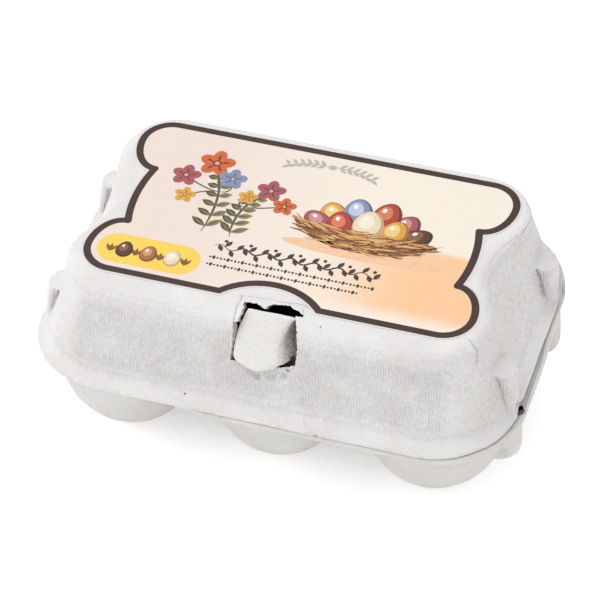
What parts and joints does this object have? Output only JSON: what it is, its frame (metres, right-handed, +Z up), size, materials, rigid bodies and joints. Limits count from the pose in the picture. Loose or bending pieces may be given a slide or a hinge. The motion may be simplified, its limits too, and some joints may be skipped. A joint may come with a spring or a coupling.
{
  "type": "egg carton",
  "caption": "Shut moulded-pulp egg carton with rounded egg cups below, a waisted lid with a tuck latch in front, denesting lugs and a shaped paper label on top.",
  "frame": {"origin": "on the ground below the middle of the carton", "axes": "+X along the carton, +Y from the latch side to the hinge side, +Z up"},
  "size_m": [0.1536, 0.106, 0.0645],
  "materials": {
    "pulp": "matt off-white moulded pulp with a fine screen imprint",
    "tab_pulp": "smoother matt off-white moulded pulp",
    "label_paper": "satin printed paper, cream and peach with a dark brown border and a yellow field"
  },
  "bodies": {
    "root": {"base_tray": "pulp", "lid": "pulp", "latch_tab": "tab_pulp", "label": "label_paper"}
  },
  "joints": []
}
